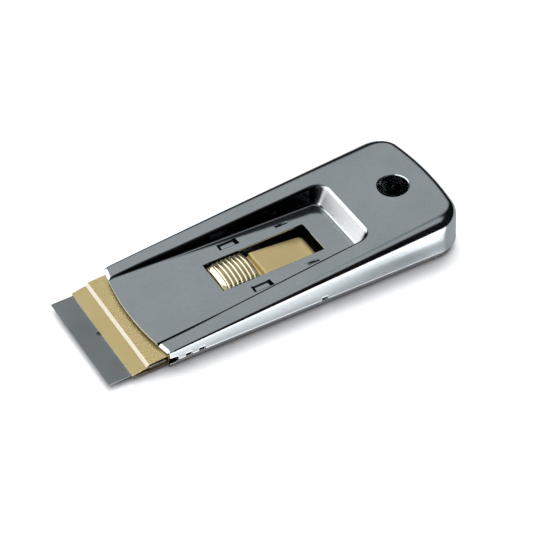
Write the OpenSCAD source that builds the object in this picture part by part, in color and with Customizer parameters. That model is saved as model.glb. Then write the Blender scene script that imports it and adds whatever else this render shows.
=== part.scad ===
// Retractable razor scraper for glass ceramic hobs, all sheet metal.
// +X points to the blade, +Y to one long side, +Z up. The origin is under the
// middle of the whole tool, which lies flat with its blade out.

/* [Body] */
// Length of the body, from its bowed rear end to the top of its bowed front edge
body_len = 110.9; // [104:0.1:124]
// Width of the body at its two front corners
front_w = 43.4; // [43.2:0.1:48]
// Width of the body where its sides end at the rear
rear_w = 48.4; // [47:0.1:54]
// Height of the rims above the table at the front corners
front_h = 6.95; // [6.6:0.05:8]
// Rise of the top over each millimetre towards the rear
top_slope = 0.081; // [0.05:0.001:0.1]
// Height of the skirt's lower edge, where the two shells part
seam_h = 3.05; // [2.4:0.05:3.3]
// Radius of the bow of the front edge
front_bow_r = 86; // [60:1:140]
// Radius of the bow of the rear end
rear_bow_r = 80; // [60:1:140]
// Radius of the two rear corners, seen from above
corner_r = 10.5; // [7:0.1:14]
// Radius of the upper edge all round
edge_r = 3; // [2.4:0.1:3.2]
// Radius of the front ends of the rims
nose_r = 1; // [0.8:0.1:1.3]
// Lean of the side walls, in millimetres for each millimetre of height
side_draft = 0.05; // [0:0.01:0.08]
// Sheet thickness of the top shell
top_t = 0.6; // [0.5:0.05:0.8]
// Sheet thickness of the bottom shell
pan_t = 0.6; // [0.4:0.05:0.65]
// Radius of the bottom shell's lower edge
pan_edge_r = 1.2; // [0.9:0.1:1.6]
// Height of the bottom shell's walls, which stand inside the skirt
pan_h = 3.75; // [3.55:0.05:3.9]

/* [Sunk panel] */
// Height of the sunk panel's upper face
panel_h = 6.5; // [6.4:0.05:6.6]
// Half width of the sunk panel's floor at the front
panel_front_half = 15.75; // [15:0.05:16.2]
// Half width of the sunk panel's floor at the rear
panel_rear_half = 13.2; // [12.9:0.05:14.5]
// Distance of the sunk floor's rear end from the rear of the body
panel_rear_gap = 34.9; // [32:0.1:36]
// Radius of the sunk floor's rear corners
panel_corner_r = 2.7; // [2:0.1:4]
// Lean of the sunk walls, in millimetres for each millimetre of height
panel_draft = 0.44; // [0.3:0.01:0.5]

/* [Thumb window and its guides] */
// Distance of the window's front end from the top of the bowed front edge
window_setback = 29.8; // [29:0.1:31]
// Length of the window
window_len = 36.9; // [36.4:0.1:38]
// Width of the window
window_w = 13.4; // [13:0.1:14]
// Distance of the guide bridges' middle from the window's front end
bridge_setback = 11.6; // [10:0.1:14]
// Distance of the guide bridges from the middle line
bridge_y = 10.8; // [10.4:0.05:11.2]
// Length of a guide bridge with the slots at its ends
bridge_len = 7; // [6:0.1:8]
// Width of a guide bridge
bridge_w = 2.8; // [2.2:0.1:3]
// Length of the slot at each end of a guide bridge
bridge_slot = 1.1; // [0.8:0.1:1.4]
// How far a guide bridge is pressed down
bridge_drop = 0.65; // [0.5:0.05:0.75]
// Distance of the louvres' middle from the window's front end
louvre_setback = 30.5; // [28:0.1:32]
// Distance of the louvres from the middle line
louvre_y = 9.9; // [9.2:0.05:10.4]
// Length of a louvre
louvre_len = 4.8; // [4:0.1:6]
// Width of a louvre
louvre_w = 1; // [0.8:0.1:1.2]

/* [Hanging hole and crimps] */
// Radius of the hanging hole
hole_r = 5.3; // [4.5:0.1:6]
// Distance of the hanging hole from the rear of the body
hole_setback = 14.3; // [13:0.1:16]
// Radius of the drawn-in rim round the hanging hole
hole_roll_r = 1; // [0.8:0.1:1.2]
// Depth of the drawn-in rim
hole_collar_h = 2.2; // [1.8:0.1:3]
// Distance of the first crimp from the front corners
crimp_first = 6.3; // [5.6:0.1:8]
// Distance from the first crimp to the second
crimp_second = 4.5; // [4:0.1:8]
// Distance from the first crimp to the third
crimp_third = 47.5; // [40:0.5:56]
// Length of a crimp
crimp_len = 2.5; // [2:0.1:3]
// Height of a crimp
crimp_h = 0.8; // [0.6:0.05:0.9]
// Radius of the rounded side mouths at the front corners
mouth_r = 1.35; // [1:0.05:1.4]
// Depth of the side mouths, from the front corner back
mouth_depth = 2.9; // [2:0.1:3.4]

/* [Razor blade] */
// Reach of the blade beyond the bowed front edge
blade_out = 17; // [14:0.1:18]
// Length of the cutting edge
blade_w = 39; // [38:0.1:39.4]
// Depth of the blade, from its edge to its back
blade_depth = 19; // [18:0.1:19.4]
// Thickness of the blade
blade_t = 0.25; // [0.23:0.01:0.3]
// Length of the ground bevel
bevel = 1.2; // [0.8:0.1:1.6]
// Diameter of the small hole in the middle of the blade
blade_hole_d = 1.7; // [1.4:0.1:2]
// Distance of that hole from the cutting edge
blade_hole_setback = 7.2; // [6.8:0.1:7.6]
// Distance of that hole from the middle line, towards the far side in the photo
blade_hole_y = 0.8; // [0:0.1:1.2]
// Depth of the folded spine
spine_depth = 5.6; // [5:0.1:5.8]
// Sheet thickness of the folded spine
spine_t = 0.45; // [0.35:0.01:0.47]

/* [Blade carrier] */
// Width of the carrier
carrier_w = 40.3; // [39.8:0.05:40.5]
// Sheet thickness of the carrier
carrier_t = 0.45; // [0.4:0.01:0.5]
// Distance of the upper lip from the cutting edge
lip_setback = 7.5; // [7.2:0.1:8]
// Distance of the lower lip from the cutting edge
tray_setback = 8.3; // [7.8:0.1:9]
// Distance of the upper step's foot from the cutting edge
step_setback = 12.4; // [11.8:0.1:12.6]
// Length of the upper step
step_len = 0.9; // [0.7:0.05:1.1]
// Height of the upper step
step_h = 1; // [0.8:0.05:1.05]
// Height of the lip's upper face at the foot of the step
step_foot_h = 3.5; // [3.2:0.05:3.55]
// Height of the carrier plate's upper face inside the body
plate_h = 4.75; // [4.7:0.01:4.78]
// Distance from the carrier's rear end to the thumb button
plate_gap = 10; // [9:0.1:12]

/* [Button and spring] */
// Gap between the button and the window's front end, with the blade out
button_gap = 0.75; // [0.6:0.05:1]
// Length of the button
button_len = 12.9; // [12:0.1:13.3]
// Width of the button
button_w = 12; // [11:0.1:12.3]
// Height of the button's top at its middle
button_h = 7.9; // [7.6:0.05:8.4]
// Drop from the middle of the button's top to its sides
button_arch = 1.4; // [1:0.05:1.6]
// Number of ridges on the button
ridges = 7; // [5:1:9]
// Depth of the grooves between the ridges
groove = 0.55; // [0.3:0.05:0.6]
// Wall thickness of the button
button_wall = 1; // [0.8:0.1:1.4]
// Width of the leaf spring
spring_w = 11; // [9:0.1:11.6]
// Sheet thickness of the leaf spring
spring_t = 0.45; // [0.35:0.01:0.5]
// Length of the spring's tail behind the button
tail_len = 22.3; // [20:0.1:23]
// Height of the spring's crest behind the button
crest_h = 4.8; // [4.5:0.05:4.9]
// Height of the spring's upper face at the end of its tail
tail_h = 2.75; // [2.6:0.05:3]
// Radius of the tail's rounded rear corners
tail_corner_r = 2.4; // [1.5:0.1:3]
// Radius of the rivet shanks and of the button's studs
rivet_r = 1; // [0.8:0.05:1.2]
// Radius of the rivet heads
rivet_head_r = 1.7; // [1.4:0.1:1.9]
// Height of the rivet heads
rivet_head_h = 0.45; // [0.35:0.05:0.5]
// Distance of the inner rivets from the middle line
rivet_inner_y = 4.5; // [4:0.1:5]
// Distance of the outer rivets from the middle line
rivet_outer_y = 15; // [14.6:0.1:16]

/* [Hidden] */

// Running and seating clearances
lap_gap = 0.12;
floor_gap = 0.35;
rivet_gap = 0.04;
over = 5;
thin = 0.02;
ball_fn = 32;
round_fn = 96;

// The whole tool is centred along X on its length with the blade out
overall = body_len + blade_out;
x_rear = -overall / 2;
x_front = x_rear + body_len;
x_edge = overall / 2;

// Plan outline: bowed front, straight flared sides, round rear corners, bowed rear
front_half = front_w / 2;
x_corner = x_front - front_bow_r + sqrt(front_bow_r * front_bow_r - front_half * front_half);
flare = (rear_w - front_w) / 2 / (x_corner - x_rear - corner_r);
flare_sec = sqrt(1 + flare * flare);
flare_deg = atan(flare);
x_bow = x_rear + rear_bow_r;
function side_y(x, inset) = front_half + flare * (x_corner - x) - inset * flare_sec;
function corner_x(y) = x_bow - sqrt(pow(rear_bow_r - corner_r, 2) - y * y);
rear_y_guess = side_y(x_rear + corner_r, corner_r);
rear_cx = corner_x(rear_y_guess);
rear_cy = side_y(rear_cx, corner_r);
bow_deg = asin(rear_cy / (rear_bow_r - corner_r));
corner_steps = 7;
bow_steps = 2;
nose_steps = 3;

function front_x(y, inset) = x_front - front_bow_r + sqrt(pow(front_bow_r - inset, 2) - y * y);
function corner_pt(i, inset, side) =
    let (a = 90 - flare_deg + i / corner_steps * (90 - bow_deg + flare_deg))
    [rear_cx + (corner_r - inset) * cos(a), side * (rear_cy + (corner_r - inset) * sin(a))];
function bow_pt(i, inset) =
    let (a = 180 + i / bow_steps * bow_deg)
    [x_bow + (rear_bow_r - inset) * cos(a), (rear_bow_r - inset) * sin(a)];
function rear_pts(inset) = concat(
    [for (i = [0:corner_steps]) corner_pt(i, inset, 1)],
    [for (i = [1 - bow_steps:bow_steps - 1]) bow_pt(i, inset)],
    [for (i = [0:corner_steps]) corner_pt(corner_steps - i, inset, -1)]);
function front_pts(inset, reach) =
    let (half = side_y(x_corner, inset))
    [for (i = [-6:6]) [front_x(i / 6 * half, 0) + reach, i / 6 * half]];

// Heights of the sloping top and of the centre line of its rounded edge
function top_z(x) = front_h + top_slope * (x_corner - x);
function edge_z(x) = top_z(x) - edge_r * sqrt(1 + top_slope * top_slope);
function edge_inset(x) = edge_r + side_draft * (edge_z(x) - seam_h);

// Sunk panel
panel_under = panel_h - top_t;
panel_x_rear = x_rear + panel_rear_gap;
wall_shift = top_t * sqrt(1 + panel_draft * panel_draft) - panel_draft * top_t;
pocket_h = 14;

// Window, bridges, louvres and hole
x_window = x_front - window_setback;
x_bridge = x_window - bridge_setback;
x_louvre = x_window - louvre_setback;
x_hole = x_rear + hole_setback;
bridge_skin = 0.5;
louvre_tilt = 11;
crimp_bite = 1.6;
crimp_slot = 0.25;
roll_bite = 0.15;
roll_lift = 0.04;
crimps = [crimp_first, crimp_first + crimp_second, crimp_first + crimp_third];

// Levels of the carrier and of the blade inside it
pan_inset = top_t + lap_gap;
tray_z = pan_t + floor_gap;
tray_top = tray_z + carrier_t;
blade_z = tray_top + spine_t;
blade_top = blade_z + blade_t;
plate_under = plate_h - carrier_t;
flange_under = plate_under - carrier_t;
spring_z = flange_under;
spring_under = spring_z - spring_t;

// Places along the carrier
rivet_setback = 5.5;
x_lip = x_edge - lip_setback;
x_tray = x_edge - tray_setback;
x_step = x_edge - step_setback;
x_back = x_edge - blade_depth;
x_spine = x_back + spine_depth;
x_button = x_window - button_gap;
x_button_rear = x_button - button_len;
x_plate_rear = x_button + plate_gap;
x_rivets = x_plate_rear + rivet_setback;
x_tail = x_button_rear - tail_len;
x_crest = x_button_rear - 1.9;
fold_gap = 0.35;
root_reach = 4.5;
plate_rise = 6;
tray_step = 0.5;
root_half = rivet_outer_y + rivet_head_r + 0.5;
studs = [0.28, 0.72];

// A bent strip, from its upper face given as points from front to rear
function back_row(path, t) = [for (i = [len(path) - 1:-1:0]) [path[i][0], path[i][1] - t]];
module strip(path, t, w) {
    rotate([90, 0, 0])
        linear_extrude(w, center = true)
            polygon(concat(path, back_row(path, t)));
}

// Edge balls of the top shell; reach carries the front ones forward past the mouth
module edge_balls(skin, reach) {
    for (p = rear_pts(0)) {
        z = edge_z(p[0]);
        pull = edge_inset(p[0]);
        q = inset_towards(p, pull);
        translate([q[0], q[1], z]) sphere(edge_r - skin, $fn = ball_fn);
    }
    z_c = edge_z(x_corner);
    y_c = side_y(x_corner, edge_inset(x_corner));
    ball = max(nose_r - skin, 0.1);
    orbit = edge_r - skin - ball;
    for (side = [-1, 1]) for (i = [0:nose_steps]) {
        y = side * (y_c + orbit * cos(90 * i / nose_steps));
        translate([front_x(y, 0) - nose_r + reach, y, z_c + orbit * sin(90 * i / nose_steps)])
            sphere(ball, $fn = ball_fn);
    }
    translate([front_x(0, 0) - nose_r + reach, 0, z_c + orbit]) sphere(ball, $fn = ball_fn);
}
function inset_towards(p, pull) =
    let (side = sign(p[1]))
    abs(p[1]) < rear_cy && p[0] < rear_cx
        ? let (d = sqrt(pow(p[0] - x_bow, 2) + p[1] * p[1]))
          [x_bow + (p[0] - x_bow) * (d - pull) / d, p[1] * (d - pull) / d]
        : let (c = [rear_cx, side * rear_cy])
          c + (p - c) * (corner_r - pull) / corner_r;

module top_body(skin, reach, z_low) {
    hull() {
        edge_balls(skin, reach);
        translate([0, 0, z_low])
            linear_extrude(thin)
                polygon(concat(rear_pts(skin), front_pts(skin, reach)));
    }
}

// The sunk panel's space: grow moves its walls out and its floor down
module pocket(grow, z_low) {
    r_low = panel_corner_r + grow;
    r_high = r_low + panel_draft * pocket_h;
    x_c = panel_x_rear + panel_corner_r;
    x_f = x_front + over;
    run = (x_corner - x_c);
    y_f = panel_front_half + (panel_front_half - panel_rear_half) / run * (x_f - x_corner);
    hull()
        for (side = [-1, 1]) {
            translate([x_c, side * (panel_rear_half - panel_corner_r), z_low])
                cylinder(pocket_h, r_low, r_high, $fn = ball_fn);
            translate([x_f, side * (y_f - thin), z_low])
                cylinder(pocket_h, thin + grow, thin + grow + panel_draft * pocket_h, $fn = ball_fn);
        }
}

module guide_bridges() {
    for (side = [-1, 1])
        translate([x_bridge - bridge_len / 2 + bridge_slot, side * bridge_y - bridge_w / 2 - bridge_skin,
                   panel_under - bridge_drop])
            cube([bridge_len - 2 * bridge_slot, bridge_w + 2 * bridge_skin, bridge_drop + top_t / 2]);
}

module guide_bridge_cuts() {
    for (side = [-1, 1]) {
        translate([x_bridge - bridge_len / 2 + bridge_slot - thin, side * bridge_y - bridge_w / 2,
                   panel_h - bridge_drop])
            cube([bridge_len - 2 * bridge_slot + 2 * thin, bridge_w, over]);
        for (end = [-1, 1])
            translate([x_bridge + end * (bridge_len - bridge_slot) / 2, side * bridge_y, panel_h])
                cube([bridge_slot, bridge_w, over], center = true);
    }
}

module louvre_cuts() {
    for (side = [-1, 1])
        translate([x_louvre, side * louvre_y, panel_h])
            cube([louvre_len, louvre_w, over], center = true);
}

module louvre_tongues() {
    for (side = [-1, 1])
        translate([x_louvre + louvre_len / 2, side * louvre_y, panel_under])
            rotate([0, -louvre_tilt, 0])
                translate([-louvre_len * 0.9, -louvre_w / 2, 0])
                    cube([louvre_len * 0.9 + 0.1, louvre_w, top_t - 0.05]);
}

// A drawn-in rim: a collar below the sheet, with a rolled entry
module hole_collar() {
    translate([x_hole, 0, top_z(x_hole) - hole_collar_h])
        cylinder(hole_collar_h, r = hole_r + hole_roll_r + 0.2, $fn = round_fn);
}

module hole_entry() {
    roll_c = hole_r + hole_roll_r - roll_bite;
    translate([x_hole, 0, top_z(x_hole) - hole_roll_r])
        rotate([0, atan(top_slope), 0])
            rotate_extrude($fn = round_fn)
                difference() {
                    square([roll_c, hole_roll_r + 1]);
                    translate([roll_c, roll_lift]) circle(hole_roll_r, $fn = 48);
                }
}

// Rounded side mouths at the front corners, open to the front
module side_mouths() {
    z = seam_h + 0.35;
    for (side = [-1, 1])
        translate([x_corner - mouth_depth + mouth_r, side * front_half, z]) {
            rotate([90, 0, 0]) cylinder(4, r = mouth_r, center = true, $fn = round_fn);
            translate([0, -2, -mouth_r]) cube([over, 4, 2 * mouth_r]);
        }
}

// One crimp at each place along both sides, drawn on the flared side wall
module at_crimps() {
    for (side = [-1, 1]) for (c = crimps)
        translate([x_corner - c, side * side_y(x_corner - c, 0), seam_h])
            rotate([0, 0, -side * flare_deg])
                children();
}

module top_shell() {
    color("silver")
    difference() {
        union() {
            difference() {
                top_body(0, 0, seam_h);
                top_body(top_t, over, seam_h - 1);
            }
            intersection() {
                top_body(0, 0, seam_h);
                union() {
                    pocket(wall_shift, panel_under);
                    hole_collar();
                }
            }
            guide_bridges();
        }
        pocket(0, panel_h);
        translate([x_window - window_len, -window_w / 2, panel_under - over])
            cube([window_len, window_w, 2 * over]);
        guide_bridge_cuts();
        louvre_cuts();
        hole_entry();
        translate([x_hole, 0, 0]) cylinder(top_z(x_hole) + over, r = hole_r, $fn = round_fn);
        side_mouths();
        at_crimps()
            translate([-crimp_len / 2, -crimp_bite, -1])
                cube([crimp_len, 2 * crimp_bite, 1 + crimp_h]);
    }
    color("silver") louvre_tongues();
}

module pan_body(skin, reach, z_high) {
    hull() {
        for (p = concat(rear_pts(pan_inset + pan_edge_r), front_pts(pan_inset + pan_edge_r, reach)))
            translate([p[0], p[1], pan_edge_r]) sphere(pan_edge_r - skin, $fn = 24);
        translate([0, 0, z_high - thin])
            linear_extrude(thin)
                polygon(concat(rear_pts(pan_inset + skin), front_pts(pan_inset + skin, reach)));
    }
}

module bottom_shell() {
    color("darkgray")
    intersection() {
        difference() {
            pan_body(0, over, pan_h);
            pan_body(pan_t, 2 * over, pan_h + 1);
            translate([x_hole, 0, -1]) cylinder(pan_t + 2, r = hole_r, $fn = round_fn);
            side_mouths();
            at_crimps()
                translate([-crimp_len / 2, -crimp_bite, -crimp_slot])
                    cube([crimp_len, 2 * crimp_bite, over]);
        }
        linear_extrude(3 * over) polygon(concat(rear_pts(0), front_pts(0, 0)));
    }
}

// Upper jaw: a lip that presses on the blade, a step up, and a plate inside the body
module carrier_plate() {
    lip_top = blade_top + carrier_t;
    path = [[x_lip, lip_top], [x_step, step_foot_h], [x_step - step_len, step_foot_h + step_h],
            [x_step - step_len - plate_rise, plate_h], [x_plate_rear, plate_h]];
    color("#c9ab6c")
    difference() {
        strip(path, carrier_t, carrier_w);
        rivet_holes();
    }
}

// Lower jaw: a lip under the blade, a floor for the spine, and a flange up to the plate
module blade_tray() {
    x_fold = x_back - fold_gap - spine_t;
    x_hop = x_spine + fold_gap;
    x_wall = x_fold - carrier_t;
    path = [[x_tray, blade_z], [x_hop + tray_step, blade_z], [x_hop, tray_top], [x_wall, tray_top]];
    color("#b99a5b")
    difference() {
        union() {
            strip(path, carrier_t, carrier_w);
            translate([x_wall, -carrier_w / 2, tray_z])
                cube([carrier_t, carrier_w, plate_under - tray_z]);
            translate([x_plate_rear, -carrier_w / 2, flange_under])
                cube([x_fold - x_plate_rear, carrier_w, carrier_t]);
        }
        rivet_holes();
    }
}

module at_rivets() {
    for (y = [-rivet_outer_y, -rivet_inner_y, rivet_inner_y, rivet_outer_y])
        translate([x_rivets, y, 0])
            children();
}

module rivet_holes() {
    at_rivets() cylinder(4 * over, r = rivet_r + rivet_gap, $fn = round_fn);
}

module rivet(z_low, z_high) {
    translate([0, 0, z_low]) cylinder(z_high - z_low, r = rivet_r, $fn = 48);
    translate([0, 0, z_high]) rivet_head();
    translate([0, 0, z_low]) mirror([0, 0, 1]) rivet_head();
}

// A low domed head
module rivet_head() {
    dome_r = (rivet_head_r * rivet_head_r + rivet_head_h * rivet_head_h) / 2 / rivet_head_h;
    rotate_extrude($fn = 48)
        intersection() {
            translate([0, rivet_head_h - dome_r]) circle(dome_r, $fn = 256);
            square([rivet_head_r, rivet_head_h]);
        }
}

module carrier_rivets() {
    color("darkkhaki") at_rivets() rivet(spring_under, plate_h);
}

// Leaf spring: a riveted root, a flat under the button, a crest and a falling tail
module lock_spring() {
    curl_r = tail_h - spring_t - pan_t - 0.3 + spring_t;
    x_curl = x_tail + curl_r * sin(60);
    path = concat(
        [[x_rivets + root_reach, spring_z], [x_button_rear - 0.5, spring_z], [x_crest, crest_h],
         [x_crest - 1, crest_h]],
        [for (a = [0:15:60]) [x_curl - curl_r * sin(a), tail_h - curl_r * (1 - cos(a))]]);
    color("#cfae66")
    difference() {
        intersection() {
            strip(path, spring_t, 2 * root_half);
            linear_extrude(3 * over)
                union() {
                    translate([x_plate_rear + 0.5, -root_half]) square([over * 2, 2 * root_half]);
                    translate([x_tail + tail_corner_r, -spring_w / 2])
                        square([x_rivets - x_tail, spring_w]);
                    for (side = [-1, 1])
                        translate([x_tail + tail_corner_r, side * (spring_w / 2 - tail_corner_r)])
                            circle(tail_corner_r, $fn = 64);
                    translate([x_tail - 1, -spring_w / 2 + tail_corner_r])
                        square([over, spring_w - 2 * tail_corner_r]);
                }
        }
        rivet_holes();
        for (s = studs)
            translate([x_button - s * button_len, 0, 0])
                cylinder(4 * over, r = rivet_r + rivet_gap, $fn = round_fn);
    }
}

// Ridged top of the button: a profile along X, revolved about an axis below it
button_r = (pow(button_w / 2, 2) + pow(button_arch, 2)) / 2 / button_arch;
ridge_pitch = (button_len - 2) / ridges;
ridge_pts = 6;
function ridge_line(i) =
    let (s = i / (ridges * ridge_pts), u = s * ridges, wave = abs(sin(180 * u)))
    [1.6 + s * (button_len - 2), button_r - groove * (1 - wave) - 0.35 * pow(2 * s - 1, 2)];
module button_top() {
    pts = concat([[0, 0], [0, button_r - 2.7], [1.3, button_r - groove - 0.35]],
                 [for (i = [0:ridges * ridge_pts]) ridge_line(i)],
                 [[button_len, button_r - groove - 0.6], [button_len, 0]]);
    translate([x_button, 0, button_h - button_r])
        rotate([0, -90, 0])
            rotate_extrude($fn = 180)
                polygon([for (p = pts) [p[1], p[0]]]);
}

module thumb_button() {
    color("#d8c38a") {
        difference() {
            intersection() {
                button_top();
                translate([x_button_rear, -button_w / 2, spring_z])
                    cube([button_len, button_w, 2 * over]);
            }
            translate([x_button_rear + button_wall, -button_w / 2 + button_wall, spring_z - 1])
                cube([button_len - 2 * button_wall, button_w - 2 * button_wall,
                      panel_under - 0.9 - spring_z + 1]);
        }
        for (s = studs)
            translate([x_button - s * button_len, 0, spring_under]) {
                cylinder(panel_under - spring_under, r = rivet_r, $fn = 48);
                mirror([0, 0, 1]) rivet_head();
            }
    }
}

module razor_blade() {
    color("slategray")
    difference() {
        rotate([90, 0, 0])
            linear_extrude(blade_w, center = true)
                polygon([[x_back, blade_z], [x_edge - bevel, blade_z],
                         [x_edge, blade_z + blade_t / 2 - thin], [x_edge, blade_z + blade_t / 2 + thin],
                         [x_edge - bevel, blade_top], [x_back, blade_top]]);
        translate([x_edge - blade_hole_setback, -blade_hole_y, blade_z - 1])
            cylinder(3, d = blade_hole_d, $fn = 48);
    }
}

// The folded steel back of the blade
module blade_spine() {
    x_low = x_back - spine_t;
    color("lightgray")
    rotate([90, 0, 0])
        linear_extrude(blade_w, center = true)
            polygon([[x_spine, blade_z], [x_back, blade_z], [x_back, blade_top], [x_spine, blade_top],
                     [x_spine, blade_top + spine_t], [x_low + 0.2, blade_top + spine_t],
                     [x_low, blade_top + spine_t - 0.2], [x_low, blade_z - spine_t + 0.2],
                     [x_low + 0.2, blade_z - spine_t], [x_spine, blade_z - spine_t]]);
}

top_shell();
bottom_shell();
carrier_plate();
blade_tray();
carrier_rivets();
lock_spring();
thumb_button();
razor_blade();
blade_spine();
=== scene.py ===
# Ceramic hob scraper: detailed shapes, finish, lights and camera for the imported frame.
# Lengths are written in millimetres and turned into metres when a mesh is made.
import math

import bmesh
import bpy
import numpy as np
from mathutils import Matrix, Vector
from mathutils.geometry import delaunay_2d_cdt


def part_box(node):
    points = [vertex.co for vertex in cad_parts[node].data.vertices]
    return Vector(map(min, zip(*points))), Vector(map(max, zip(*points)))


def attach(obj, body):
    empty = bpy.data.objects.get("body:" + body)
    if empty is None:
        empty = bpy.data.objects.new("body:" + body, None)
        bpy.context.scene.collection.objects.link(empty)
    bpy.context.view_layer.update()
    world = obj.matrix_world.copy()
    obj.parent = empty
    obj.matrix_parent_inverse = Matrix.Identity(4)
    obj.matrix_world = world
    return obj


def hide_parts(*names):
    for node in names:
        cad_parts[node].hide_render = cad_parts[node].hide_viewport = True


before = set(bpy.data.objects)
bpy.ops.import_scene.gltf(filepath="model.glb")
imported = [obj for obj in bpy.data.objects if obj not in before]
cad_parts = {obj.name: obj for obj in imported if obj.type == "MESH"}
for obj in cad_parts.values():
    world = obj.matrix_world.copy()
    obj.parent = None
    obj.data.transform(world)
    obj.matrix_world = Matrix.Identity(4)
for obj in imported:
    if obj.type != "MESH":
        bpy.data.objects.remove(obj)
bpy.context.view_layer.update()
MM = 0.001

# Body outline: the frame's sizes, but for the rear corners and bow, which follow the photo
BOX_GAP = 0.015
X_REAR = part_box("top_shell")[0][0] / MM + BOX_GAP
X_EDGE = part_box("razor_blade")[1][0] / MM
X_FRONT = X_REAR + 110.9
FRONT_HALF = 21.7
REAR_HALF = 24.175
FRONT_H = 6.95
SLOPE = 0.081
SEAM_H = 3.05
FRONT_BOW = 86.0
REAR_BOW = 100.0
CORNER_R = 9.5
DRAFT = 0.05
SHEET = 0.6
PAN_EDGE_R = 1.2
PAN_H = 3.75
PAN_INSET = SHEET + 0.12
X_CORNER = X_FRONT - FRONT_BOW + math.sqrt(FRONT_BOW ** 2 - FRONT_HALF ** 2)
FLARE = (REAR_HALF - FRONT_HALF) / (X_CORNER - X_REAR - CORNER_R)
FLARE_SEC = math.sqrt(1 + FLARE * FLARE)
X_BOW = X_REAR + REAR_BOW

# Sunk panel and what is cut in it
PANEL_H = 6.5
PANEL_FRONT = 15.75
PANEL_REAR = 13.2
PANEL_X = X_REAR + 34.9
PANEL_R = 2.7
PANEL_DRAFT = 0.44
X_WINDOW = X_FRONT - 29.8
WINDOW_LEN = 36.9
WINDOW_W = 13.4
WINDOW_R = 0.35
X_BRIDGE = X_WINDOW - 11.6
BRIDGE_Y = 10.8
BRIDGE_LEN = 7.0
BRIDGE_W = 2.8
BRIDGE_SLOT = 1.1
BRIDGE_DROP = 0.65
BRIDGE_DIP = 0.12
BRIDGE_EASE = 0.6
BRIDGE_RAMP = 0.8
X_LOUVRE = X_WINDOW - 30.5
LOUVRE_Y = 9.9
LOUVRE_LEN = 4.8
LOUVRE_W = 1.0
TONGUE_LEN = 4.3
TONGUE_BEND = math.radians(11)
TONGUE_EASE = 0.8
TONGUE_GAP = 0.12

# Hanging hole, crimps in the skirt and the side mouth
X_HOLE = X_REAR + 14.3
HOLE_R = 5.3
HOLE_ROLL = 0.7
RIM_R = 4.9
HOLE_DEPTH = 2.2
HOLE_COUNT = 96
CRIMPS = (6.3, 10.8, 53.8)
CRIMP_LEN = 2.5
CRIMP_H = 1.1
MOUTH_R = 1.35
MOUTH_Z = SEAM_H + 0.35
MOUTH_X = X_CORNER - 2.9 + MOUTH_R
SIDE_NORMAL = 0.9

# Directions, and how finely the rounds are drawn
UP = np.array([SLOPE, 0.0, 1.0]) / math.hypot(SLOPE, 1)
DOWN = np.array([0.0, 0.0, -1.0])
FLAT = -DOWN
MIRROR_Y = np.array([1.0, -1.0, 1.0])
CUT_R = 0.09
CUT_STEPS = 3
BOW_COUNT = 40
ROUND_STEPS = 8


def unit(v):
    return v / np.linalg.norm(v, axis=-1, keepdims=True)


def slerp(a, b, t):
    """The unit direction at share t of the turn from a to b."""
    angle = math.acos(max(-1.0, min(1.0, float(np.dot(a, b)))))
    if angle < 1e-6:
        return a
    return (math.sin((1 - t) * angle) * a + math.sin(t * angle) * b) / math.sin(angle)


def quarter(steps):
    """Angles of a quarter turn, from 0 to a right angle."""
    return [math.pi / 2 * k / steps for k in range(steps + 1)]


def quads(rows):
    """Faces between neighbouring rows of point numbers."""
    return [(a[i], a[i + 1], b[i + 1], b[i]) for a, b in zip(rows, rows[1:]) for i in range(len(a) - 1)]


def new_object(name, data):
    obj = bpy.data.objects.new(name, data)
    bpy.context.scene.collection.objects.link(obj)
    return obj


def top_z(x):
    return FRONT_H + SLOPE * (X_CORNER - x)


def side_y(x, inset=0.0):
    return FRONT_HALF + FLARE * (X_CORNER - x) - inset * FLARE_SEC


def bow_x(y):
    return X_FRONT - FRONT_BOW + math.sqrt(FRONT_BOW ** 2 - y * y)


def bow_normal(y):
    a = math.asin(y / FRONT_BOW)
    return np.array([math.cos(a), math.sin(a), 0.0])


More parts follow.
